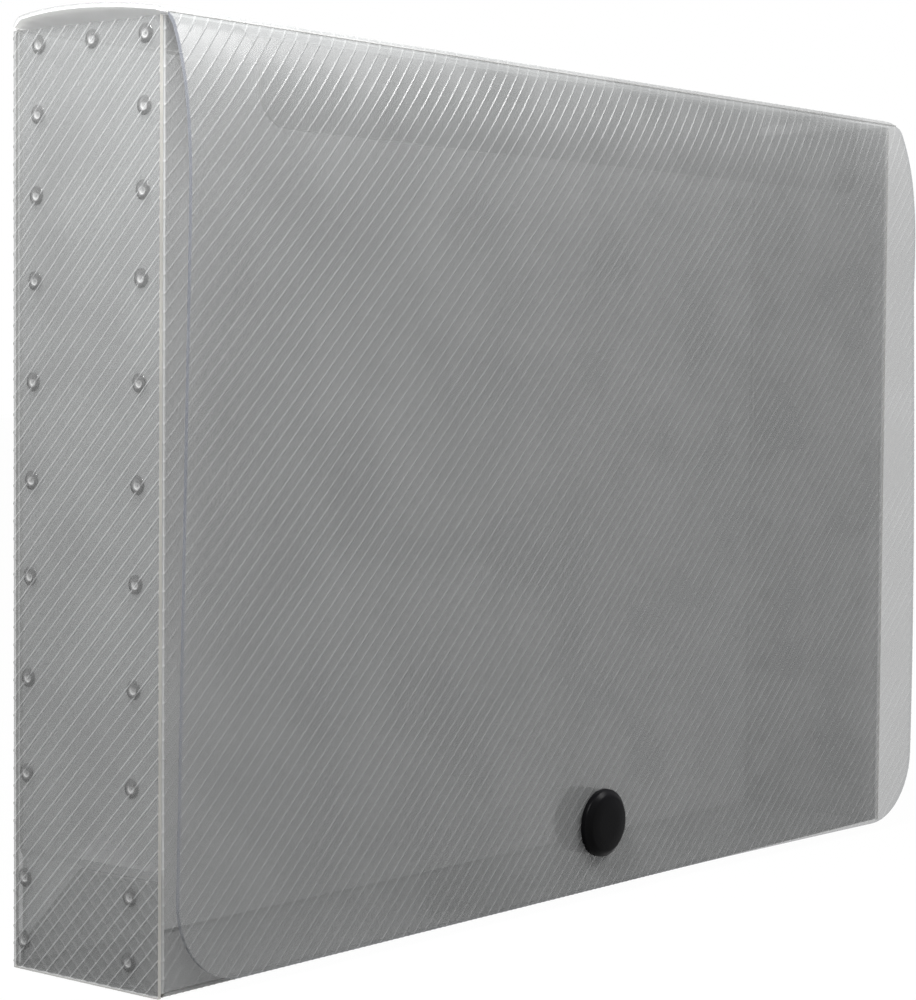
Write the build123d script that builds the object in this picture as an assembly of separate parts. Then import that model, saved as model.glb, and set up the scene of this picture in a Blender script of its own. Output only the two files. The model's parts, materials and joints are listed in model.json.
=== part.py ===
from build123d import *
import math
import os

# A case for papers, folded from one sheet of smoke plastic and closed with a snap.
# Frame: origin under the middle of the bottom, X along the length, the front faces -Y, Z up.

# Size of the closed case
LENGTH = 340
DEPTH = 53
HEIGHT = 235
SHEET = 1.0
HALF = SHEET / 2

# Folds
CORNER_BEND = 1.5
FOLD_ROUND = 0.9
SMALL_GAP = 0.4

# Planes of the two layers at each end, measured from the middle of the length
END_FACE = LENGTH / 2
LAYER_1 = END_FACE - SHEET
LAYER_2 = END_FACE - 2 * SHEET
LAYER_3 = END_FACE - 3 * SHEET
FRONT_FACE = -DEPTH / 2
BACK_FACE = DEPTH / 2

# Recess in the top edge of the front panel
RECESS_LEFT = -135.5
RECESS_RIGHT = 149
RECESS_DEPTH = 23.5
RECESS_SHOULDER = 10
RECESS_RIGHT_CORNER = 5

# Tab of the bottom panel, held between the two layers of the end
TAB_HEIGHT = 28
TAB_FLAT_END = 2
TAB_BACK = 24
JOGGLE_RISE = 2

# Weld dots that join the layers of each end
DOT_RADIUS = 1.6
DOT_SIDES = 9
DOT_PROUD = 0.25
DISH_TOP = 1.15
DISH_FLOOR = 0.5
DISH_DEPTH = 0.45
DOT_HEIGHTS = [7.5, 23.5, 50, 74, 99.5, 123.5, 148, 173, 194, 214, 231]
DOT_BACK_LOW = 21.8
DOT_BACK_HIGH = 16.2
DOT_FRONT_LOW = -16.2
DOT_FRONT_HIGH = -21.6
DOT_MIDDLE = -3

# Living hinges: the sheet is pressed thin where it folds, and a web is the axis
WEB_RADIUS = 0.35
WEB_HALF = 0.2
WEB_LENGTH = 0.6
HINGE_CLEAR = 0.5
ROOT = 1.9
REAR_AXIS = Vector(BACK_FACE - HALF, HEIGHT + 0.45)

# Bends of the lid and the flap, as radius and turn in degrees, from the rear hinge forward
LID_START = 130
LID_BENDS = [(4, 42), (110, 8), (200, 9), (15, 11)]
FLAP_START = 230
FLAP_BENDS = [(8, 20), (80, 13), (150, 7), (600, 1.3)]
FLAP_BOTTOM = 2.6
FLAP_CORNER = 22

# Snap
SNAP_HEIGHT = 21.8
SNAP_POST = 2
CAP_RADIUS = 9.8
CAP_THICK = 3
CAP_BEVEL = 1.4
STUD_DISC = 9.5
STUD_THICK = 1.5
STUD_BALL = 2.6
BACKING_THICK = 2
SOCKET_DISC = 8
SOCKET_DISC_THICK = 1.8
COLLAR_RADIUS = 5.5
SOCKET_BORE = 2.9
BORE_DEPTH = 2.9
SOCKET_GAP = 0.35
POST_SEAT = 0.8


def unit(degrees):
    """Unit vector in the side view, where X is the depth and Y is the height."""
    angle = math.radians(degrees)
    return Vector(math.cos(angle), math.sin(angle))


def stations(axis, heading, bends):
    """Point and heading at each change of curve of a bent sheet's middle line."""
    point = axis + unit(heading) * ROOT
    found = [(point, heading)]
    for radius, turn in bends:
        centre = point + unit(heading + 90) * radius
        heading = heading + turn
        point = centre - unit(heading + 90) * radius
        found.append((point, heading))
    return found


def side_curve(found, bends, offset):
    """One face of a bent sheet, offset to the left of its middle line, as edges."""
    edges = []
    for (point, heading), (radius, turn) in zip(found, bends):
        start = point + unit(heading + 90) * offset
        edges.append(JernArc(start, unit(heading), radius - offset, turn))
    return edges


def bent_sheet(axis, heading, bends, tail, tail_half):
    """Closed side-view face of a bent sheet with a thinned root and a straight tail."""
    found = stations(axis, heading, bends)
    last_point, last_heading = found[-1]
    across_root = unit(heading + 90)
    across_tail = unit(last_heading + 90)
    root = axis + unit(heading) * HINGE_CLEAR
    end = last_point + unit(last_heading) * tail
    inner = side_curve(found, bends, HALF)
    outer = side_curve(found, bends, -HALF)
    edges = inner + outer
    edges.append(Line(root + across_root * WEB_HALF, inner[0] @ 0))
    edges.append(Line(root - across_root * WEB_HALF, outer[0] @ 0))
    edges.append(Line(root + across_root * WEB_HALF, root - across_root * WEB_HALF))
    edges.append(Line(inner[-1] @ 1, end + across_tail * tail_half))
    edges.append(Line(outer[-1] @ 1, end - across_tail * tail_half))
    edges.append(Line(end + across_tail * tail_half, end - across_tail * tail_half))
    return make_face(edges)


def along_length(face, length):
    """Extrude a side-view face both ways from the middle."""
    return extrude(Plane.YZ * face, amount=length / 2, both=True)


def hinge_web(axis, heading, length):
    """Thin web that carries a living hinge, with its rod on the hinge's axis."""
    side = unit(heading + 90) * WEB_HALF
    reach = unit(heading) * WEB_LENGTH
    web = make_face(Polyline(axis + side, axis + side + reach, axis - side + reach, axis - side, close=True))
    rod = Pos(axis.X, axis.Y) * Circle(WEB_RADIUS)
    return along_length(web + rod, length)


def box(low, high):
    """Box between two corners."""
    size = [b - a for a, b in zip(low, high)]
    return Pos(*low) * Box(*size, align=(Align.MIN, Align.MIN, Align.MIN))


def front_panel():
    """Front of the case, with the recess in its top edge and the hole of the stud."""
    recess_floor = HEIGHT - RECESS_DEPTH
    width = RECESS_RIGHT - RECESS_LEFT
    recess = Rectangle(width, 2 * RECESS_DEPTH, align=(Align.MIN, Align.MIN))
    recess = Pos(RECESS_LEFT, recess_floor) * recess
    low = recess.vertices().group_by(Axis.Y)[0].sort_by(Axis.X)
    recess = fillet(low[0], RECESS_SHOULDER)
    low = recess.vertices().group_by(Axis.Y)[0].sort_by(Axis.X)
    recess = fillet(low[-1], RECESS_RIGHT_CORNER)
    outline = Rectangle(2 * LAYER_1, HEIGHT, align=(Align.CENTER, Align.MIN)) - recess
    top = outline.vertices().group_by(Axis.Y)[-1].sort_by(Axis.X)
    outline = fillet(top[1], RECESS_SHOULDER)
    outline = outline - Pos(0, SNAP_HEIGHT) * Circle(SNAP_POST)
    panel = extrude(Plane.XZ.offset(-FRONT_FACE) * outline, amount=-SHEET)
    folds = [
        edge
        for edge in panel.edges().filter_by(Axis.Z).group_by(Axis.Y)[0]
        if abs(edge.center().X) > LAYER_1 - HALF
    ]
    folds.append(panel.edges().filter_by(Axis.X).group_by(Axis.Z)[0].sort_by(Axis.Y)[0])
    return fillet(folds, FOLD_ROUND)


def back_panel():
    """Back of the case, thinned along the top where the lid folds."""
    inner = BACK_FACE - SHEET
    thin_from = HEIGHT - ROOT
    thin_to = REAR_AXIS.Y - WEB_LENGTH
    outline = Polyline(
        (inner, 0),
        (BACK_FACE, 0),
        (BACK_FACE, thin_from),
        (REAR_AXIS.X + WEB_HALF, thin_to),
        (REAR_AXIS.X - WEB_HALF, thin_to),
        (inner, thin_from),
        close=True,
    )
    panel = along_length(make_face(outline), 2 * (END_FACE - CORNER_BEND))
    fold = panel.edges().filter_by(Axis.X).group_by(Axis.Z)[0].sort_by(Axis.Y)[-1]
    return fillet(fold, FOLD_ROUND)


def bottom_panel():
    """Bottom of the case, between the front, the back and the outer layers of the ends."""
    panel = box((-LAYER_1, FRONT_FACE + SHEET, 0), (LAYER_1, BACK_FACE - SHEET, SHEET))
    rear = panel.edges().filter_by(Axis.Z).group_by(Axis.Y)[-1]
    return fillet(rear, CORNER_BEND - SHEET)


def dot_places():
    """Depth and height of every weld dot of one end."""
    places = [(DOT_MIDDLE, DOT_HEIGHTS[-1])]
    span = DOT_HEIGHTS[-1] - DOT_HEIGHTS[0]
    for height in DOT_HEIGHTS:
        share = (height - DOT_HEIGHTS[0]) / span
        places.append((DOT_BACK_LOW + share * (DOT_BACK_HIGH - DOT_BACK_LOW), height))
        places.append((DOT_FRONT_LOW + share * (DOT_FRONT_HIGH - DOT_FRONT_LOW), height))
    return places


def end_outer():
    """Outer layer of the right end, bent round the back corner, with the weld holes."""
    middle = END_FACE - CORNER_BEND
    start = BACK_FACE - CORNER_BEND
    ring = Circle(CORNER_BEND) - Circle(CORNER_BEND - SHEET)
    quarter = ring & Rectangle(CORNER_BEND, CORNER_BEND, align=(Align.MIN, Align.MIN))
    straight = Rectangle(SHEET, start - FRONT_FACE, align=(Align.MIN, Align.MIN))
    plan = Pos(middle, start) * quarter + Pos(LAYER_1, FRONT_FACE) * straight
    holes = Sketch() + [Pos(*place) * RegularPolygon(DOT_RADIUS, DOT_SIDES) for place in dot_places()]
    return extrude(plan, amount=HEIGHT) - extrude(Plane.YZ.offset(LAYER_1) * holes, amount=SHEET)


def end_inner():
    """Inner layer of the right end, stepped inward where it lies over the tab."""
    step_top = TAB_HEIGHT + SMALL_GAP + JOGGLE_RISE
    step_low = TAB_HEIGHT + SMALL_GAP
    foot = SHEET + SMALL_GAP
    section = Polyline(
        (LAYER_1, HEIGHT),
        (LAYER_1, step_top),
        (LAYER_2, step_low),
        (LAYER_2, foot),
        (LAYER_3, foot),
        (LAYER_3, step_low + SMALL_GAP),
        (LAYER_2, step_top + SMALL_GAP),
        (LAYER_2, HEIGHT),
        close=True,
    )
    face = Plane.XZ.offset(-(FRONT_FACE + SHEET)) * make_face(section)
    return extrude(face, amount=-(DEPTH - 3 * SHEET))


def bottom_tab():
    """Tab of the bottom panel at the right end, with a slanted rear top corner."""
    front = FRONT_FACE + SHEET
    rear_height = TAB_HEIGHT - (TAB_BACK - TAB_FLAT_END)
    outline = Polyline(
        (front, SHEET),
        (front, TAB_HEIGHT),
        (TAB_FLAT_END, TAB_HEIGHT),
        (TAB_BACK, rear_height),
        (TAB_BACK, SHEET),
        close=True,
    )
    return extrude(Plane.YZ.offset(LAYER_2) * make_face(outline), amount=SHEET)


def weld_dots():
    """Melted dots of the right end: each fills its hole and stands proud as a crater."""
    top = END_FACE + DOT_PROUD
    dots = []
    for depth, height in dot_places():
        beside_tab = depth > 0 and TAB_HEIGHT + TAB_FLAT_END - depth < height < TAB_HEIGHT
        foot = LAYER_2 if beside_tab else LAYER_1
        spot = Pos(depth, height)
        slug = extrude(Plane.YZ.offset(foot) * spot * RegularPolygon(DOT_RADIUS, DOT_SIDES), amount=top - foot)
        mouth = Plane.YZ.offset(top) * spot * RegularPolygon(DISH_TOP, DOT_SIDES)
        floor = Plane.YZ.offset(top - DISH_DEPTH) * spot * RegularPolygon(DISH_FLOOR, DOT_SIDES)
        dots.append(slug - loft([floor, mouth], ruled=True))
    return Compound(children=dots)


def flap_panel():
    """Front flap: bulged below its hinge, then straight, with rounded lower corners."""
    last_point, last_heading = stations(FRONT_AXIS, FLAP_START, FLAP_BENDS)[-1]
    run = (last_point.Y - FLAP_BOTTOM) / -unit(last_heading).Y
    section = bent_sheet(FRONT_AXIS, FLAP_START, FLAP_BENDS, run, HALF)
    sheet = along_length(section, LENGTH)
    outline = Rectangle(LENGTH, 2 * HEIGHT, align=(Align.CENTER, Align.MIN))
    outline = fillet(outline.vertices().group_by(Axis.Y)[0], FLAP_CORNER)
    keep = extrude(Plane.XZ * Pos(0, FLAP_BOTTOM) * outline, amount=DEPTH, both=True)
    return (sheet & keep) - snap_plane() * Cylinder(SNAP_POST, 3 * SHEET)


def snap_plane():
    """Plane on the flap's middle line at the snap, facing outward."""
    last_point, last_heading = stations(FRONT_AXIS, FLAP_START, FLAP_BENDS)[-1]
    direction = unit(last_heading)
    point = last_point + direction * ((SNAP_HEIGHT - last_point.Y) / direction.Y)
    outward = unit(last_heading - 90)
    return Plane(origin=(0, point.X, point.Y), x_dir=(1, 0, 0), z_dir=(0, outward.X, outward.Y))


def snap_cap():
    """Bevelled cap of the snap with its post, which passes through the flap."""
    foot = Align.CENTER, Align.CENTER, Align.MIN
    disc = Cylinder(CAP_RADIUS, CAP_THICK, align=foot)
    disc = chamfer(disc.edges().group_by(Axis.Z)[-1], CAP_BEVEL * 0.6, CAP_BEVEL)
    disc = Pos(0, 0, HALF) * disc
    post = Pos(0, 0, -HALF - POST_SEAT) * Cylinder(SNAP_POST, SHEET + POST_SEAT + HALF, align=foot)
    return snap_plane() * (disc + post)


def snap_socket():
    """Socket on the inside of the flap: a disc and a collar round the bore."""
    foot = Align.CENTER, Align.CENTER, Align.MAX
    reach = FRONT_FACE - STUD_THICK - snap_plane().origin.Y - HALF - SOCKET_GAP
    disc = Cylinder(SOCKET_DISC, SOCKET_DISC_THICK, align=foot)
    collar = Cylinder(COLLAR_RADIUS, reach, align=foot)
    bore = Pos(0, 0, -reach) * Cylinder(SOCKET_BORE, 2 * BORE_DEPTH)
    seat = Cylinder(SNAP_POST, 2 * POST_SEAT)
    return snap_plane() * Pos(0, 0, -HALF) * (disc + collar - bore - seat)


def snap_stud():
    """Stud on the front panel: a disc, a rounded stud and the post behind it."""
    foot = Align.CENTER, Align.CENTER, Align.MIN
    disc = Cylinder(STUD_DISC, STUD_THICK, align=foot)
    ball = Pos(0, 0, STUD_THICK) * Sphere(STUD_BALL)
    ball = ball & Pos(0, 0, STUD_THICK) * Cylinder(STUD_BALL, STUD_BALL, align=foot)
    post = Pos(0, 0, -SHEET) * Cylinder(SNAP_POST, 2 * SHEET, align=foot)
    seat = Plane(origin=(0, FRONT_FACE, SNAP_HEIGHT), x_dir=(1, 0, 0), z_dir=(0, -1, 0))
    return seat * (disc + ball + post)


def stud_backing():
    """Flat disc inside the case that holds the stud's post."""
    disc = Cylinder(STUD_DISC, BACKING_THICK, align=(Align.CENTER, Align.CENTER, Align.MAX))
    disc = chamfer(disc.edges().group_by(Axis.Z)[0], SMALL_GAP)
    inside = Plane(origin=(0, FRONT_FACE + SHEET, SNAP_HEIGHT), x_dir=(1, 0, 0), z_dir=(0, -1, 0))
    return inside * disc


# The lid's thinned front edge ends at the front hinge
lid_end, lid_heading = stations(REAR_AXIS, LID_START, LID_BENDS)[-1]
FRONT_AXIS = lid_end + unit(lid_heading) * ROOT

parts = {
    "front_panel": front_panel(),
    "bottom_panel": bottom_panel(),
    "back_panel": back_panel(),
    "rear_hinge": hinge_web(REAR_AXIS, 270, 2 * (END_FACE - CORNER_BEND)),
    "lid_panel": along_length(bent_sheet(REAR_AXIS, LID_START, LID_BENDS, ROOT - WEB_LENGTH, WEB_HALF), LENGTH),
    "front_hinge": hinge_web(FRONT_AXIS, lid_heading + 180, LENGTH),
    "flap_panel": flap_panel(),
    "snap_cap": snap_cap(),
    "snap_socket": snap_socket(),
    "snap_stud": snap_stud(),
    "stud_backing": stud_backing(),
}

# Each end is made once, for the right, and mirrored
ends = {
    "end_outer": end_outer(),
    "end_inner": end_inner(),
    "bottom_tab": bottom_tab(),
    "weld_dots": weld_dots(),
}
for name, shape in ends.items():
    parts[name + "_right"] = shape
    parts[name + "_left"] = mirror(shape, about=Plane.YZ)

os.makedirs("parts", exist_ok=True)
for name, shape in parts.items():
    export_step(shape, f"parts/{name}.step")
    print(name, len(shape.solids()), round(shape.volume))
print("front hinge axis", FRONT_AXIS, "snap plane", snap_plane().origin)
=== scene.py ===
import json
import math

import bmesh
import bpy
from mathutils import Matrix, Vector


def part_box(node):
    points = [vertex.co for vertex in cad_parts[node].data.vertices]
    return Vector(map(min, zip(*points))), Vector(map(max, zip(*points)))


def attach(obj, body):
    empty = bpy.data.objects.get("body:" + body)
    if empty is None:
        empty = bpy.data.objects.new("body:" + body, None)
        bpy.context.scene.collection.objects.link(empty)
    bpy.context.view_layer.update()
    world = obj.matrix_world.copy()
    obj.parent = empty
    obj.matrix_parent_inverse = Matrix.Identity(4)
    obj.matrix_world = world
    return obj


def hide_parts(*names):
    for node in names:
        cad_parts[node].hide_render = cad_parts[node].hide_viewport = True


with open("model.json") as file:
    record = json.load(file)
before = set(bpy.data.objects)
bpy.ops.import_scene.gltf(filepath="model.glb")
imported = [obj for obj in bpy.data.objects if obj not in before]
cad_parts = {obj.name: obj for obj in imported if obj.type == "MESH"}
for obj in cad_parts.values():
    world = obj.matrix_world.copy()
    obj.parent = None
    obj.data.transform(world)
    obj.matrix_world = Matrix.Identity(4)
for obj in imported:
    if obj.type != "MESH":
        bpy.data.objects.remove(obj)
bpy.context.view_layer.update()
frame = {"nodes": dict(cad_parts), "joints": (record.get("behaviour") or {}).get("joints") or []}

# Sizes below are in millimetres; meshes are written in metres
MM = 0.001
SHEET = 1.0
HALF = SHEET / 2

# Slack in a comparison of two places
SMALL = 0.001


def box_mm(node):
    """Lowest and highest corner of a CAD node, in millimetres."""
    low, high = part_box(node)
    return low / MM, high / MM


# Main sizes, read from the frame
OUTER_LOW, OUTER_HIGH = box_mm("end_outer_right")
FRONT_HIGH = box_mm("front_panel")[1]
END_X = OUTER_HIGH.x
HEIGHT = OUTER_HIGH.z
FRONT_Y = OUTER_LOW.y
BACK_Y = OUTER_HIGH.y
DEPTH = BACK_Y - FRONT_Y
JOINTS = {joint["name"]: joint for joint in frame["joints"]}
REAR_AXIS = Vector(JOINTS["lid_hinge"]["pos_m"][1:]) / MM
FRONT_AXIS = Vector(JOINTS["flap_hinge"]["pos_m"][1:]) / MM

# Embossed lines: one family of straight ridges in the flat sheet, flatter on the lid, flap and front
RIDGE_PITCH = 3.15
RIDGE_HALF = 0.36
RIDGE_HIGH = 0.16
FLAT_RIDGE = 0.08
DIAGONAL = math.sqrt(2)

# How near a point is to a crest to be on it, as a share of the pitch
CREST_NEAR = 0.02

# Painted highlights: how pale the crests are made on each part of the sheet, standing in for light
# glinting on the ridges, and how pale the places where it is folded are made, standing in for the light on
# the folds
END_LINE_HIGHLIGHT = 0.36
FLAP_LINE_HIGHLIGHT = 0.17
BACK_LINE_HIGHLIGHT = 0.4
INNER_LINE_HIGHLIGHT = 0.15
FOLD_HIGHLIGHT = 0.5

# Painted glow: how pale the inner face is made where daylight comes through the sheet from behind,
# standing in for that light
BACK_PAINTED_GLOW = 0.85
LID_PAINTED_GLOW = 1.0

# Bends of the sheet along its middle line, as radius and turn in degrees where there are several
CORNER_BEND = 1.0
FRONT_BEND = 0.6
ROOT = 1.9
COINED_HALF = 0.2
HINGE_CLEAR = 0.5
LID_START = 130
LID_BENDS = [(4, 42), (110, 8), (200, 9), (15, 11)]
FLAP_START = 230
FLAP_BENDS = [(8, 20), (80, 13), (150, 7), (600, 1.3)]
FLAP_BOTTOM = box_mm("flap_panel")[0].z
FLAP_CORNER = 22
STRAIGHT_DOWN = 270

# How finely the flat sheets are divided, and the angle above which an edge stays sharp
DEGREES_PER_CUT = 3
BEND_STEPS = 4
CORNER_STEPS = 12
STRAIGHT_STEPS = 9
CUT_NEAR = 1e-4
SHARP_ABOVE = math.radians(7)

# Recess in the front panel
RECESS_LEFT = -135.5
RECESS_RIGHT = 149
RECESS_DEPTH = 23.5
RECESS_SHOULDER = 10
RECESS_RIGHT_CORNER = 5
SHOULDER_STEPS = 8
RIGHT_CORNER_STEPS = 6

# Tab and stepped inner layer of the ends
TAB_HEIGHT = 28
TAB_FLAT_END = 2
TAB_BACK = 24
TAB_RIM = 0.9
STEP_GAP = 0.4
STEP_RISE = 2
STEP_LOW = TAB_HEIGHT + STEP_GAP
STEP_HIGH = STEP_LOW + STEP_RISE

# The loose flap is twisted: its free right corner stands further off than its left one
TWIST_FROM_X = 25
TWIST_TOP = 180
TWIST_OUT = 5.0
TWIST_POWER = 1.5
TWIST_STEPS = 8

# Rings of a weld dot's crater: radius, height above the outer face and paleness, which paints a highlight
# towards the middle
CRATER = [(2.4, -0.2, 0), (2.4, 0.03, 0), (1.85, 0.06, 0), (1.65, 0.2, 0), (1.4, 0.3, 0.1),
          (1.15, 0.24, 0.5), (0.9, 0.02, 0.8), (0.55, -0.1, 1), (0.25, -0.08, 0.6)]
CRATER_SEGMENTS = 20

# Places of the dots: heights, and the depth of each row at its lowest and its highest dot
DOT_HEIGHTS = [7.5, 23.5, 50, 74, 99.5, 123.5, 148, 173, 194, 214, 231]
DOT_BACK = (21.8, 16.2)
DOT_FRONT = (-16.2, -21.6)
DOT_MIDDLE = -3

# Cap of the snap: radius and height above the flap of each ring, and the post that ends just under it
CAP_RINGS = [(9.8, 0.0), (9.8, 1.3), (9.7, 1.55), (9.45, 1.8), (8.6, 2.5), (8.2, 2.78), (7.8, 2.9),
             (4.0, 2.97), (1.0, 3.0)]
CAP_SEGMENTS = 64
CAP_SHARP_ABOVE = math.radians(40)
POST_RADIUS = 2
POST_TOP = -0.01

# Step of the walk down the flap that finds where the cap sits
SEARCH_STEP = 0.25

# Frosted plastic: its mottled tone, its grain with a depth in metres, and the tones of the smoke sheet
MOTTLE_SCALE = 45
NOISE_DETAIL = 1
NOISE_ROUGH = 0.55
MOTTLE_LOW = 0.3
MOTTLE_HIGH = 0.7
FINE_GRAIN = 1500
COARSE_GRAIN = 900
GRAIN_DEPTH = 0.0002
PLASTIC_IOR = 1.49
SLANT_POWER = 2
SMOKE_DARK = (0.245, 0.25, 0.25)
SMOKE_LIGHT = (0.28, 0.285, 0.285)
# Pale tone of the painted highlights and painted glow on the smoke sheet
SMOKE_PAINTED_LIGHT = (0.85, 0.86, 0.86)
SMOKE_ALPHA = 0.34
SMOKE_SLANT_ALPHA = 0.8

# Material slots of a sheet: 0 is the outer face, 1 the inner face and this the cut rim
RIM_SLOT = 2

# Places of the two inputs and the result among a mix node's sockets, for colours and for numbers
MIX_SOCKETS = {"RGBA": (6, 7, 2), "FLOAT": (2, 3, 0)}

# Stage: a pale floor and grey surroundings that the camera sees as paper white
AMBIENT = 0.155
FLOOR_WHITE = 0.95
FLOOR_GLOW = 1.03
FLOOR_TONE = 0.25
FLOOR_ROUGH = 0.8
FLOOR_REACH = 6.0

# Soft lamps: name, place and target in metres, side in metres and power in watts
LAMPS = [
    ("end_light", (-0.35, -0.105, 0.47), (-0.17, -0.03, 0.2), 0.2, 5.6),
    ("shine", (0.6, -0.7, 0.95), (-0.15, 0, 0.2), 0.3, 11.0),
    ("front", (0.2, -0.7, 1.15), (0, 0, 0.15), 0.7, 1.5),
]

# Camera, in metres, millimetres of lens and radians
CAMERA_PLACE = Vector((-0.5994, -0.4707, 0.1504))
CAMERA_YAW = 0.8839
CAMERA_PITCH = -0.0482
CAMERA_ROLL = 0.0079
CAMERA_LENS = 92.93
CAMERA_SENSOR = 36

# How many clear layers a look goes through, and how often light is thrown on
CLEAR_BOUNCES = 48
ALL_BOUNCES = 5
DIFFUSE_BOUNCES = 2


def unit(degrees):
    """Unit vector in the side view, as depth and height."""
    angle = math.radians(degrees)
    return Vector((math.cos(angle), math.sin(angle)))


class Profile:
    """Middle line of a bent sheet in the side view, from its hinge axis."""

    def __init__(self, axis, heading, bends, tail):
        self.runs = [(0.0, Vector(axis), heading, None, ROOT)]
        length = ROOT
        point = Vector(axis) + unit(heading) * ROOT
        for radius, turn in bends:
            span = radius * math.radians(turn)
            self.runs.append((length, point, heading, radius, span))
            centre = point + unit(heading + 90) * radius
            heading += turn
            point = centre - unit(heading + 90) * radius
            length += span
        self.runs.append((length, point, heading, None, tail))
        self.length = length + tail

    def at(self, distance):
        """Point and outward normal at a distance along the line."""
        for start, point, heading, radius, span in self.runs:
            if distance <= start + span:
                break
        along = distance - start
        if radius is None:
            return point + unit(heading) * along, unit(heading - 90)
        centre = point + unit(heading + 90) * radius
        turned = heading + math.degrees(along / radius)
        return centre - unit(turned + 90) * radius, unit(turned - 90)

    def cuts(self):
        """Distances at which a flat sheet is divided so that it can follow the bends."""
        found = [self.runs[0][4]]
        for start, _, _, radius, span in self.runs:
            if radius is None:
                continue
            steps = max(1, round(math.degrees(span / radius) / DEGREES_PER_CUT))
            found += [start + span * k / steps for k in range(steps + 1)]
        return found


def side_bend(beyond, radius):
    """Travel along, travel behind and turn of a quarter bend, at a distance past its start."""
    quarter = radius * math.pi / 2
    if beyond <= 0:
        return beyond, 0.0, 0.0
    if beyond < quarter:
        turn = beyond / radius
        return radius * math.sin(turn), radius * (1 - math.cos(turn)), turn
    return radius, radius + beyond - quarter, math.pi / 2


def bend_cuts(start, radius):
    """Places of the cuts that a quarter bend needs, past its start."""
    quarter = radius * math.pi / 2
    return [start + quarter * k / BEND_STEPS for k in range(BEND_STEPS + 1)]


# Where each panel starts in the flat sheet, counted down the front and up the back
V_BOTTOM = HEIGHT
V_BACK = V_BOTTOM + DEPTH
V_LID = V_BACK + HEIGHT
LID = Profile(REAR_AXIS, LID_START, LID_BENDS, ROOT)
V_FLAP = V_LID + LID.length


def new_object(name, mesh, body, nodes, materials):
    """Link a mesh as a piece that rides on a body and stands for CAD nodes."""
    for material in materials:
        mesh.materials.append(material)
    piece = bpy.data.objects.new(name, mesh)
    bpy.context.scene.collection.objects.link(piece)
    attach(piece, body)
    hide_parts(*nodes)
    return piece


def smooth(mesh):
    """Shade every face of a mesh smooth."""
    for polygon in mesh.polygons:
        polygon.use_smooth = True


def set_painted_light(mesh, values):
    """Write how pale each point is made by painted light, which the materials read."""
    layer = mesh.attributes.new("pale", "FLOAT", "POINT")
    layer.data.foreach_set("value", values)


def divided_sheet(outline, u_cuts, v_cuts):
    """Flat sheet cut along its ridges and bends, as flat points, faces and rim edges."""
    flat = bmesh.new()
    flat.faces.new([flat.verts.new((u, v, 0)) for u, v in outline])
    bmesh.ops.triangulate(flat, faces=flat.faces[:])
    planes = [((u, 0, 0), (1, 0, 0)) for u in u_cuts]
    planes += [((0, v, 0), (0, 1, 0)) for v in v_cuts]
    places = [(u + v) / DIAGONAL for u, v in outline]
    first = math.floor(min(places) / RIDGE_PITCH)
    last = math.ceil(max(places) / RIDGE_PITCH)
    for line in range(first, last + 1):
        for side in (-RIDGE_HALF, 0, RIDGE_HALF):
            where = (line * RIDGE_PITCH + side) * DIAGONAL
            planes.append(((where, 0, 0), (1, 1, 0)))
    for point, normal in planes:
        geometry = flat.verts[:] + flat.edges[:] + flat.faces[:]
        bmesh.ops.bisect_plane(flat, geom=geometry, dist=CUT_NEAR, plane_co=point, plane_no=normal)
    flat.verts.index_update()
    points = [(vert.co.x, vert.co.y) for vert in flat.verts]
    faces = [[vert.index for vert in face.verts] for face in flat.faces]
    rims = []
    for edge in flat.edges:
        if edge.is_boundary:
            loop = edge.link_loops[0]
            rims.append((loop.vert.index, loop.link_loop_next.vert.index))
    flat.free()
    return points, faces, rims


def is_crest(u, v):
    """Whether a point of the flat sheet lies on the top of a ridge."""
    place = (u + v) / DIAGONAL / RIDGE_PITCH
    return abs(place - round(place)) < CREST_NEAR


def even_half(v):
    """Half thickness of a sheet that is nowhere pressed thin."""
    return HALF


def never_folded(u, v):
    """For a sheet with no fold that gets a painted highlight."""
    return False


def sheet(name, body, nodes, outline, place, u_cuts=(), v_cuts=(), half=even_half, folded=never_folded,
          edge=None, lines=END_LINE_HIGHLIGHT, ridge=RIDGE_HIGH, glow=0.0):
    """Embossed sheet: an outer face with ridges, a plain inner face and a cut rim, with painted highlights
    on its crests and folds and a painted glow on its inner face.
    """
    points, faces, rims = divided_sheet(outline, u_cuts, v_cuts)
    outer = []
    inner = []
    pale = []
    for u, v in points:
        crest = 1.0 if is_crest(u, v) else 0.0
        outer.append(Vector(place(u, v, half(v) + crest * ridge)) * MM)
        inner.append(Vector(place(u, v, -half(v))) * MM)
        # Painted highlights on the outer face: crests get the sheet's line highlight, folds the fold
        # highlight
        pale.append(FOLD_HIGHLIGHT if folded(u, v) else crest * lines)
    count = len(points)
    polygons = list(faces)
    polygons += [[index + count for index in reversed(face)] for face in faces]
    polygons += [[b, a, a + count, b + count] for a, b in rims]
    mesh = bpy.data.meshes.new(name)
    mesh.from_pydata(outer + inner, [], polygons)
    for index, polygon in enumerate(mesh.polygons):
        polygon.material_index = min(RIM_SLOT, index // len(faces))
    smooth(mesh)
    mesh.validate()
    mesh.update()
    shell = bmesh.new()
    shell.from_mesh(mesh)
    bmesh.ops.recalc_face_normals(shell, faces=shell.faces)
    shell.to_mesh(mesh)
    shell.free()
    mesh.set_sharp_from_angle(angle=SHARP_ABOVE)
    # The inner face gets the sheet's painted glow
    set_painted_light(mesh, pale + [glow] * count)
    return new_object(name, mesh, body, nodes, [SMOKE, INSIDE, edge or LIT_CUT_EDGE])


def arc_points(centre, radius, start, end, steps):
    """Points of an arc, for rounding a corner of an outline."""
    found = []
    for k in range(steps + 1):
        angle = math.radians(start + (end - start) * k / steps)
        found.append((centre[0] + radius * math.cos(angle), centre[1] + radius * math.sin(angle)))
    return found


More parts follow.
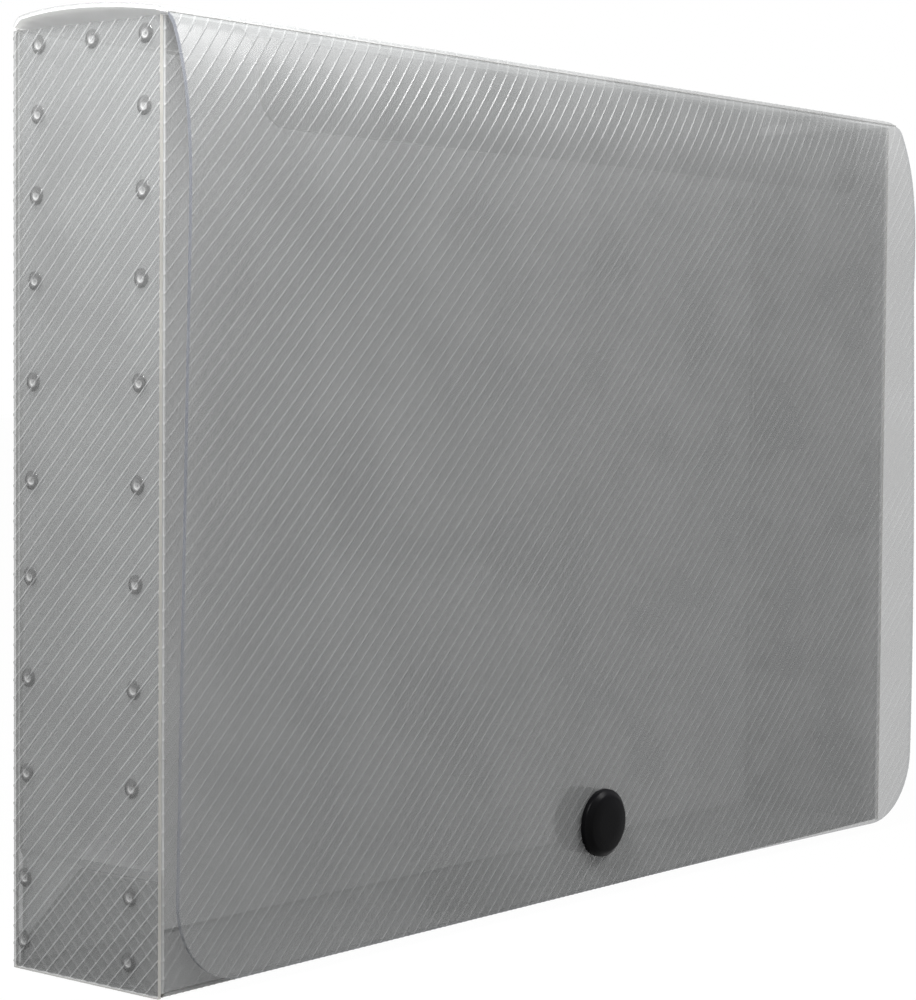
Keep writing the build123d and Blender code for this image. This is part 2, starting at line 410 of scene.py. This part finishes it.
def node_tree(name):
    """Empty material with a Principled shader, its nodes, its links and that shader."""
    material = bpy.data.materials.new(name)
    material.use_nodes = True
    nodes = material.node_tree.nodes
    return material, nodes, material.node_tree.links, nodes["Principled BSDF"]


def noise(nodes, links, coords, scale):
    """Noise texture on object coordinates."""
    node = nodes.new("ShaderNodeTexNoise")
    node.inputs["Scale"].default_value = scale
    node.inputs["Detail"].default_value = NOISE_DETAIL
    node.inputs["Roughness"].default_value = NOISE_ROUGH
    links.new(coords.outputs["Object"], node.inputs["Vector"])
    return node


def ramp(nodes, links, source, dark, light):
    """Colour between a dark and a light tone, by a noise value."""
    node = nodes.new("ShaderNodeValToRGB")
    low, high = node.color_ramp.elements
    low.position = MOTTLE_LOW
    low.color = (*dark, 1)
    high.position = MOTTLE_HIGH
    high.color = (*light, 1)
    links.new(source, node.inputs["Fac"])
    return node.outputs["Color"]


def spread(nodes, links, source, low, high):
    """Map a noise value onto a range."""
    node = nodes.new("ShaderNodeMapRange")
    node.inputs["From Min"].default_value = MOTTLE_LOW
    node.inputs["From Max"].default_value = MOTTLE_HIGH
    node.inputs["To Min"].default_value = low
    node.inputs["To Max"].default_value = high
    links.new(source, node.inputs["Value"])
    return node.outputs["Result"]


def blend_painted_light(nodes, links, pale, kind, plain, raised):
    """Mix between the plain sheet and its painted highlights on ridges and folds, and its painted glow."""
    mix = nodes.new("ShaderNodeMix")
    mix.data_type = kind
    first, second, result = MIX_SOCKETS[kind]
    links.new(plain, mix.inputs[first])
    mix.inputs[second].default_value = raised
    links.new(pale.outputs["Fac"], mix.inputs["Factor"])
    return mix.outputs[result]


def slanted(nodes, links, alpha, slant_alpha):
    """Opacity of a clear sheet: more plastic is in the way where it is seen at a slant."""
    slant = nodes.new("ShaderNodeLayerWeight")
    square = nodes.new("ShaderNodeMath")
    square.operation = "POWER"
    square.inputs[1].default_value = SLANT_POWER
    links.new(slant.outputs["Facing"], square.inputs[0])
    reach = nodes.new("ShaderNodeMapRange")
    reach.inputs["To Min"].default_value = alpha
    reach.inputs["To Max"].default_value = slant_alpha
    links.new(square.outputs[0], reach.inputs["Value"])
    return reach.outputs["Result"]


def plastic(name, dark, light, roughness, alpha=None, slant_alpha=None, painted_light_color=None, painted_light_alpha=None,
            grain=COARSE_GRAIN, bump=0.12, gloss_level=0.5):
    """Plastic with mottled tone, uneven gloss and grain, and painted highlights on ridges if it has a
    painted light colour.
    """
    material, nodes, links, shader = node_tree(name)
    coords = nodes.new("ShaderNodeTexCoord")
    mottle = noise(nodes, links, coords, MOTTLE_SCALE).outputs["Fac"]
    color = ramp(nodes, links, mottle, dark, light)
    if painted_light_color is not None:
        # Painted light: the pale attribute pales the colour and hazes the sheet where highlights and glow
        # are painted
        pale = nodes.new("ShaderNodeAttribute")
        pale.attribute_name = "pale"
        color = blend_painted_light(nodes, links, pale, "RGBA", color, (*painted_light_color, 1))
        clear = slanted(nodes, links, alpha, slant_alpha)
        haze = blend_painted_light(nodes, links, pale, "FLOAT", clear, painted_light_alpha)
        links.new(haze, shader.inputs["Alpha"])
    elif alpha is not None:
        shader.inputs["Alpha"].default_value = alpha
    links.new(color, shader.inputs["Base Color"])
    links.new(spread(nodes, links, mottle, *roughness), shader.inputs["Roughness"])
    if bump is not None:
        fine = noise(nodes, links, coords, grain)
        height = nodes.new("ShaderNodeBump")
        height.inputs["Strength"].default_value = bump
        height.inputs["Distance"].default_value = GRAIN_DEPTH
        links.new(fine.outputs["Fac"], height.inputs["Height"])
        links.new(height.outputs["Normal"], shader.inputs["Normal"])
    shader.inputs["IOR"].default_value = PLASTIC_IOR
    shader.inputs["Specular IOR Level"].default_value = gloss_level
    return material


# Smoke sheet and its inner face, both with painted highlights and painted glow
SMOKE = plastic("smoke_sheet", SMOKE_DARK, SMOKE_LIGHT, (0.25, 0.33), SMOKE_ALPHA, SMOKE_SLANT_ALPHA,
                painted_light_color=SMOKE_PAINTED_LIGHT, painted_light_alpha=0.62, grain=FINE_GRAIN, bump=0.03, gloss_level=0.4)
INSIDE = plastic("smoke_sheet_inside", SMOKE_DARK, SMOKE_LIGHT, (0.3, 0.4), SMOKE_ALPHA, SMOKE_SLANT_ALPHA,
                 painted_light_color=SMOKE_PAINTED_LIGHT, painted_light_alpha=0.5, bump=None, gloss_level=0.3)
# Cut rims: a pale copy of the edge with a painted highlight, as where light catches it
LIT_CUT_EDGE = plastic("lit_cut_edge", (0.46, 0.45, 0.42), (0.56, 0.55, 0.51), (0.3, 0.4), 0.85)
# Cut rim of the flap: a dark copy of the same edge with painted shade
SHADED_FREE_EDGE = plastic("shaded_free_edge", (0.09, 0.10, 0.13), (0.13, 0.14, 0.17), (0.25, 0.35), 0.45)
# Cut rim of the tab: near black, a painted shadow line along its edge
SHADED_TAB_EDGE = plastic("shaded_tab_edge", (0.02, 0.02, 0.02), (0.04, 0.04, 0.04), (0.4, 0.5), 0.85)
# Weld dots: dark melted plastic with a painted highlight in the middle of each crater
MELTED = plastic("melted_dots", (0.06, 0.06, 0.06), (0.10, 0.10, 0.10), (0.14, 0.24), 0.30, 0.5,
                 painted_light_color=(0.5, 0.5, 0.5), painted_light_alpha=0.65)
# Hinge creases: pale grey, a painted highlight on the folds
FOLD_HIGHLIGHT_SHEET = plastic("folded_sheet", (0.40, 0.40, 0.39), (0.5, 0.5, 0.49), (0.25, 0.35), 0.55)
BLACK = plastic("black_snap", (0.002, 0.002, 0.002), (0.004, 0.004, 0.005), (0.24, 0.34),
                grain=FINE_GRAIN, bump=0.15, gloss_level=0.03)


def lid_place(u, v, h):
    """Lid: along its arched profile."""
    point, normal = LID.at(v - V_LID)
    return u, point.x + normal.x * h, point.y + normal.y * h


def coined(distance, length=None):
    """Half thickness of a sheet that is pressed thin where it folds."""
    near = distance if length is None else min(distance, length - distance)
    share = min(1.0, max(0.0, (near - HINGE_CLEAR) / (ROOT - HINGE_CLEAR)))
    return COINED_HALF + share * (HALF - COINED_HALF)


def make_lid():
    """Lid, thinned at both of its creases."""
    start = V_LID + HINGE_CLEAR
    end = V_LID + LID.length - HINGE_CLEAR
    outline = [(-END_X, start), (END_X, start), (END_X, end), (-END_X, end)]
    cuts = [V_LID + cut for cut in LID.cuts()] + [V_LID + LID.length - ROOT]

    def half(v):
        return coined(v - V_LID, LID.length)

    sheet("lid_sheet", "lid", ["lid_panel"], outline, lid_place, (), cuts, half,
          edge=INSIDE, lines=FLAP_LINE_HIGHLIGHT, ridge=FLAT_RIDGE, glow=LID_PAINTED_GLOW)


def make_flap():
    """Flap, bulged below its crease, with rounded lower corners and its free corner twisted outward."""
    bent = Profile(FRONT_AXIS, FLAP_START, FLAP_BENDS, 0)
    last_point = bent.at(bent.length)[0]
    heading = FLAP_START + sum(turn for _, turn in FLAP_BENDS)
    run = (last_point.y - FLAP_BOTTOM) / math.cos(math.radians(heading - STRAIGHT_DOWN))
    profile = Profile(FRONT_AXIS, FLAP_START, FLAP_BENDS, run)

    def place(u, v, h):
        point, normal = profile.at(v - V_FLAP)
        across = max(0.0, (u - TWIST_FROM_X) / (END_X - TWIST_FROM_X))
        down = max(0.0, (TWIST_TOP - point.y) / (TWIST_TOP - FLAP_BOTTOM))
        out = TWIST_OUT * across ** TWIST_POWER * math.sin(min(1.0, down) * math.pi / 2)
        return u, point.x + normal.x * h - out, point.y + normal.y * h

    start = V_FLAP + HINGE_CLEAR
    end = V_FLAP + profile.length
    inset = END_X - FLAP_CORNER
    outline = [(-END_X, start), (END_X, start)]
    outline += arc_points((inset, end - FLAP_CORNER), FLAP_CORNER, 0, 90, CORNER_STEPS)
    outline += arc_points((-inset, end - FLAP_CORNER), FLAP_CORNER, 90, 180, CORNER_STEPS)
    cuts = [V_FLAP + cut for cut in profile.cuts()]
    cuts += [end - run * k / STRAIGHT_STEPS for k in range(1, STRAIGHT_STEPS)]
    u_cuts = [TWIST_FROM_X + (END_X - TWIST_FROM_X) * k / TWIST_STEPS for k in range(TWIST_STEPS)]

    def half(v):
        return coined(v - V_FLAP)

    sheet("flap_sheet", "flap", ["flap_panel"], outline, place, u_cuts, cuts, half,
          edge=SHADED_FREE_EDGE, lines=FLAP_LINE_HIGHLIGHT, ridge=FLAT_RIDGE)


def make_front():
    """Front panel, with its recess and the bends to the bottom and to the inner layers."""
    side = FRONT_HIGH.x - HALF - FRONT_BEND
    foot = HALF + FRONT_BEND
    quarter = FRONT_BEND * math.pi / 2
    middle = FRONT_Y + HALF

    def place(u, v, h):
        height = V_BOTTOM - v
        along, behind, turn = side_bend(abs(u) - side, FRONT_BEND)
        sign = 1 if u > 0 else -1
        x = u if turn == 0 and abs(u) <= side else sign * (side + along)
        down, under, lean = side_bend(foot - height, FRONT_BEND)
        z = height if height >= foot else foot - down
        y = middle + behind + under
        x += sign * math.sin(turn) * h
        z -= math.sin(lean) * h
        return x, y - math.cos(turn) * math.cos(lean) * h, z

    top = V_BOTTOM - HEIGHT
    low = V_BOTTOM - foot
    floor = top + RECESS_DEPTH
    wide = side + quarter
    deep = low + quarter
    outline = [(-wide, top)]
    shoulder = RECESS_SHOULDER
    corner = RECESS_RIGHT_CORNER
    outline += arc_points((RECESS_LEFT - shoulder, top + shoulder), shoulder, -90, 0, SHOULDER_STEPS)
    outline += arc_points((RECESS_LEFT + shoulder, floor - shoulder), shoulder, 180, 90, SHOULDER_STEPS)
    outline += arc_points((RECESS_RIGHT - corner, floor - corner), corner, 90, 0, RIGHT_CORNER_STEPS)
    outline += [(RECESS_RIGHT, top), (wide, top), (wide, low), (side, low), (side, deep)]
    outline += [(-side, deep), (-side, low), (-wide, low)]
    u_cuts = bend_cuts(side, FRONT_BEND) + [-cut for cut in bend_cuts(side, FRONT_BEND)]

    # Painted highlight on the bends of the front panel
    def folded(u, v):
        return abs(u) > side + SMALL or v > low + SMALL

    sheet("front_sheet", "case", ["front_panel"], outline, place, u_cuts, bend_cuts(low, FRONT_BEND),
          folded=folded, lines=FLAP_LINE_HIGHLIGHT, ridge=FLAT_RIDGE)


def make_bottom():
    """Bottom panel, flat between its bends."""
    side = END_X - 2 * SHEET - FRONT_BEND + HALF
    front = V_BOTTOM + SHEET - HALF + FRONT_BEND
    rear = V_BACK - front + V_BOTTOM
    outline = [(-side, front), (side, front), (side, rear), (-side, rear)]

    def place(u, v, h):
        return u, FRONT_Y + v - V_BOTTOM, HALF - h

    sheet("bottom_sheet", "case", ["bottom_panel"], outline, place, lines=INNER_LINE_HIGHLIGHT)


def make_back():
    """Back panel, with its bend to the bottom and its thinned top edge."""
    side = END_X - HALF - CORNER_BEND
    foot = HALF + FRONT_BEND
    low = V_BACK + foot
    top = V_BACK + REAR_AXIS.y - HINGE_CLEAR
    middle = BACK_Y - HALF

    def place(u, v, h):
        height = v - V_BACK
        down, under, lean = side_bend(foot - height, FRONT_BEND)
        z = height if height >= foot else foot - down
        return u, middle - under + math.cos(lean) * h, z - math.sin(lean) * h

    deep = low - FRONT_BEND * math.pi / 2
    outline = [(-side, deep), (side, deep), (side, top), (-side, top)]
    v_cuts = [2 * low - cut for cut in bend_cuts(low, FRONT_BEND)] + [top - ROOT + HINGE_CLEAR]

    def half(v):
        return coined(V_BACK + REAR_AXIS.y - v)

    sheet("back_sheet", "case", ["back_panel"], outline, place, (), v_cuts, half,
          lines=BACK_LINE_HIGHLIGHT, glow=BACK_PAINTED_GLOW)


def make_end_outer(sign, side_name):
    """Outer layer of one end, folded round from the back; sign is the end's side of X."""
    bend = END_X - HALF - CORNER_BEND
    quarter = CORNER_BEND * math.pi / 2
    length = BACK_Y - HALF - CORNER_BEND - FRONT_Y

    def place(u, v, h):
        along, behind, turn = side_bend(abs(u) - bend, CORNER_BEND)
        x = bend + along + math.sin(turn) * h
        return sign * x, BACK_Y - HALF - behind + math.cos(turn) * h, v - V_BACK

    far = bend + quarter + length
    outline = [(sign * bend, V_BACK), (sign * far, V_BACK)]
    outline += [(sign * far, V_LID), (sign * bend, V_LID)]
    u_cuts = [sign * cut for cut in bend_cuts(bend, CORNER_BEND)]
    sheet("end_sheet_" + side_name, "case", ["end_outer_" + side_name], outline, place, u_cuts)


def make_end_inner(sign, side_name):
    """Inner layer of one end, folded round from the front, with a step over the tab."""
    inner_low, inner_high = box_mm("end_inner_" + side_name)
    upper = END_X - SHEET - HALF
    fold = FRONT_HIGH.x - HALF

    def place(u, v, h):
        height = V_BOTTOM - v
        share = min(1.0, max(0.0, (height - STEP_LOW) / (STEP_HIGH - STEP_LOW)))
        x = upper - SHEET * (1 - share)
        return sign * (x + h), FRONT_Y + abs(u) - fold + HALF, height

    near = fold + inner_low.y - FRONT_Y - HALF
    away = fold + inner_high.y - FRONT_Y - HALF
    top = V_BOTTOM - inner_high.z
    low = V_BOTTOM - inner_low.z
    outline = [(sign * near, top), (sign * away, top), (sign * away, low), (sign * near, low)]
    v_cuts = [V_BOTTOM - STEP_HIGH, V_BOTTOM - STEP_LOW]
    step_end = fold + TAB_FLAT_END - FRONT_Y - HALF

    # Painted highlight on the step over the tab
    def stepped(u, v):
        return abs(u) < step_end and V_BOTTOM - STEP_HIGH - SMALL < v < V_BOTTOM - STEP_LOW + SMALL

    sheet("inner_sheet_" + side_name, "case", ["end_inner_" + side_name], outline, place, (), v_cuts,
          folded=stepped, lines=INNER_LINE_HIGHLIGHT)


def make_tab(sign, side_name):
    """Tab of the bottom at one end, with its rear corner cut off, held between the two layers."""
    base = END_X - SHEET - HALF - FRONT_BEND

    def place(u, v, h):
        along, behind, turn = side_bend(abs(u) - base, FRONT_BEND)
        x = base + along + math.sin(turn) * h
        return sign * x, FRONT_Y + v - V_BOTTOM, HALF + behind - math.cos(turn) * h

    rise = base + FRONT_BEND * math.pi / 2 - HALF - FRONT_BEND
    front = V_BOTTOM + SHEET
    chamfer_v = V_BOTTOM + TAB_FLAT_END - FRONT_Y
    rear_v = V_BOTTOM + TAB_BACK - FRONT_Y
    top = rise + TAB_HEIGHT
    rear_rise = top - (TAB_BACK - TAB_FLAT_END)
    outline = [(sign * base, front), (sign * top, front), (sign * top, chamfer_v)]
    outline += [(sign * rear_rise, rear_v), (sign * base, rear_v)]
    u_cuts = [sign * cut for cut in bend_cuts(base, FRONT_BEND)] + [sign * (top - TAB_RIM)]

    # Painted highlight along the tab's top edge
    def on_rim(u, v):
        return abs(u) > top - SMALL

    sheet("tab_sheet_" + side_name, "case", ["bottom_tab_" + side_name], outline, place, u_cuts,
          folded=on_rim, edge=SHADED_TAB_EDGE, lines=INNER_LINE_HIGHLIGHT)


def lathe(rings, segments):
    """Surface of revolution about local Z through rings of radius and height, as mesh data."""
    verts = []
    faces = []
    for radius, height in rings:
        for k in range(segments):
            angle = 2 * math.pi * k / segments
            verts.append((radius * math.cos(angle), radius * math.sin(angle), height))
    for row in range(len(rings) - 1):
        for k in range(segments):
            after = (k + 1) % segments
            faces.append([row * segments + k, row * segments + after,
                          (row + 1) * segments + after, (row + 1) * segments + k])
    faces.append(list(range(segments))[::-1])
    last = (len(rings) - 1) * segments
    faces.append([last + k for k in range(segments)])
    return verts, faces


def dot_places():
    """Depth and height of every weld dot of one end."""
    places = [(DOT_MIDDLE, DOT_HEIGHTS[-1])]
    span = DOT_HEIGHTS[-1] - DOT_HEIGHTS[0]
    for height in DOT_HEIGHTS:
        share = (height - DOT_HEIGHTS[0]) / span
        for low, high in (DOT_BACK, DOT_FRONT):
            places.append((low + share * (high - low), height))
    return places


def make_dots(sign, side_name):
    """Craters of one end's weld dots, each with a painted highlight in its middle."""
    ring_verts, ring_faces = lathe([ring[:2] for ring in CRATER], CRATER_SEGMENTS)
    ring_painted_light = [ring[2] for ring in CRATER for _ in range(CRATER_SEGMENTS)]
    verts = []
    faces = []
    pale = []
    for depth, height in dot_places():
        start = len(verts)
        for x, y, z in ring_verts:
            verts.append(Vector((sign * (END_X + z), depth + sign * x, height + y)) * MM)
        faces += [[index + start for index in face] for face in ring_faces]
        pale += ring_painted_light
    mesh = bpy.data.meshes.new("weld_craters_" + side_name)
    mesh.from_pydata(verts, [], faces)
    set_painted_light(mesh, pale)
    smooth(mesh)
    nodes = ["weld_dots_" + side_name]
    new_object("weld_craters_" + side_name, mesh, "case", nodes, [MELTED])


def make_cap():
    """Bevelled round cap of the snap, with its post through the flap."""
    low, high = box_mm("snap_cap")
    flap = Profile(FRONT_AXIS, FLAP_START, FLAP_BENDS, HEIGHT)
    middle = (low.z + high.z) / 2
    distance = 0.0
    while flap.at(distance)[0].y > middle:
        distance += SEARCH_STEP
    point, normal = flap.at(distance)
    seat = point + normal * HALF
    post = [(POST_RADIUS, -SHEET - HALF), (POST_RADIUS, POST_TOP)]
    verts, faces = lathe(post + CAP_RINGS, CAP_SEGMENTS)
    outward = Vector((0, normal.x, normal.y))
    across = Vector((1, 0, 0))
    up = outward.cross(across)
    centre = Vector((0, seat.x, seat.y))
    placed = [(centre + across * x + up * y + outward * z) * MM for x, y, z in verts]
    mesh = bpy.data.meshes.new("cap")
    mesh.from_pydata(placed, [], faces)
    smooth(mesh)
    mesh.set_sharp_from_angle(angle=CAP_SHARP_ABOVE)
    new_object("cap", mesh, "flap", ["snap_cap"], [BLACK])


def dress_node(name, material):
    """Give a CAD node that stays in view its finish."""
    node = frame["nodes"][name]
    node.data.materials.clear()
    node.data.materials.append(material)


make_front()
make_bottom()
make_back()
make_lid()
make_flap()
for sign, side_name in ((-1, "left"), (1, "right")):
    make_end_outer(sign, side_name)
    make_end_inner(sign, side_name)
    make_tab(sign, side_name)
    make_dots(sign, side_name)
make_cap()
for name in ("snap_socket", "snap_stud", "stud_backing"):
    dress_node(name, BLACK)
for name in ("rear_hinge", "front_hinge"):
    dress_node(name, FOLD_HIGHLIGHT_SHEET)


def seen_directly(nodes, links):
    """1 for a ray from the camera, a reflection or a look through glass."""
    rays = nodes.new("ShaderNodeLightPath")
    highest = rays.outputs["Is Camera Ray"]
    for name in ("Is Glossy Ray", "Is Transmission Ray"):
        pair = nodes.new("ShaderNodeMath")
        pair.operation = "MAXIMUM"
        links.new(highest, pair.inputs[0])
        links.new(rays.outputs[name], pair.inputs[1])
        highest = pair.outputs[0]
    return highest


def backdrop_material():
    """Pale floor that keeps a shadow and is seen as white."""
    material, nodes, links, shader = node_tree("pale_floor")
    shader.inputs["Base Color"].default_value = (FLOOR_TONE, FLOOR_TONE, FLOOR_TONE, 1)
    shader.inputs["Roughness"].default_value = FLOOR_ROUGH
    glow = nodes.new("ShaderNodeEmission")
    glow.inputs["Strength"].default_value = FLOOR_GLOW
    share = nodes.new("ShaderNodeMath")
    share.operation = "MULTIPLY"
    share.inputs[1].default_value = FLOOR_WHITE
    links.new(seen_directly(nodes, links), share.inputs[0])
    mix = nodes.new("ShaderNodeMixShader")
    links.new(share.outputs[0], mix.inputs["Fac"])
    links.new(shader.outputs["BSDF"], mix.inputs[1])
    links.new(glow.outputs["Emission"], mix.inputs[2])
    links.new(mix.outputs["Shader"], nodes["Material Output"].inputs["Surface"])
    return material


def make_stage():
    """Floor, just below the ridges of the bottom."""
    mesh = bpy.data.meshes.new("floor")
    level = -2 * RIDGE_HIGH * MM
    corners = [(x * FLOOR_REACH, y * FLOOR_REACH, level) for x, y in ((-1, -1), (1, -1), (1, 1), (-1, 1))]
    mesh.from_pydata(corners, [], [(0, 1, 2, 3)])
    mesh.materials.append(backdrop_material())
    floor = bpy.data.objects.new("floor", mesh)
    bpy.context.scene.collection.objects.link(floor)


def make_world():
    """Grey surroundings that light the case, seen as white by the camera."""
    world = bpy.data.worlds.new("studio")
    bpy.context.scene.world = world
    world.use_nodes = True
    nodes = world.node_tree.nodes
    links = world.node_tree.links
    background = nodes["Background"]
    tone = nodes.new("ShaderNodeMix")
    tone.data_type = "FLOAT"
    lighting, seen, result = MIX_SOCKETS["FLOAT"]
    tone.inputs[lighting].default_value = AMBIENT
    tone.inputs[seen].default_value = 1.0
    links.new(seen_directly(nodes, links), tone.inputs["Factor"])
    links.new(tone.outputs[result], background.inputs["Strength"])
    background.inputs["Color"].default_value = (1, 1, 1, 1)


def softbox(name, place, target, side, power):
    """Square soft lamp aimed at a point."""
    lamp = bpy.data.lights.new(name, "AREA")
    lamp.shape = "RECTANGLE"
    lamp.size = side
    lamp.size_y = side
    lamp.energy = power
    holder = bpy.data.objects.new(name, lamp)
    holder.location = place
    direction = Vector(target) - Vector(place)
    holder.rotation_euler = direction.to_track_quat("-Z", "Y").to_euler()
    bpy.context.scene.collection.objects.link(holder)


def make_camera():
    """Camera at the photograph's viewing angle."""
    lens = bpy.data.cameras.new("camera")
    lens.sensor_fit = "VERTICAL"
    lens.sensor_height = CAMERA_SENSOR
    lens.lens = CAMERA_LENS
    camera = bpy.data.objects.new("camera", lens)
    turn = Matrix.Rotation(-CAMERA_YAW, 4, "Z") @ Matrix.Rotation(math.pi / 2 + CAMERA_PITCH, 4, "X")
    turn = turn @ Matrix.Rotation(CAMERA_ROLL, 4, "Z")
    camera.matrix_world = Matrix.Translation(CAMERA_PLACE) @ turn
    bpy.context.scene.collection.objects.link(camera)
    bpy.context.scene.camera = camera


make_stage()
make_world()
for lamp_values in LAMPS:
    softbox(*lamp_values)
make_camera()

scene = bpy.context.scene
scene.view_settings.view_transform = "Standard"
scene.cycles.transparent_max_bounces = CLEAR_BOUNCES
scene.cycles.max_bounces = ALL_BOUNCES
scene.cycles.diffuse_bounces = DIFFUSE_BOUNCES
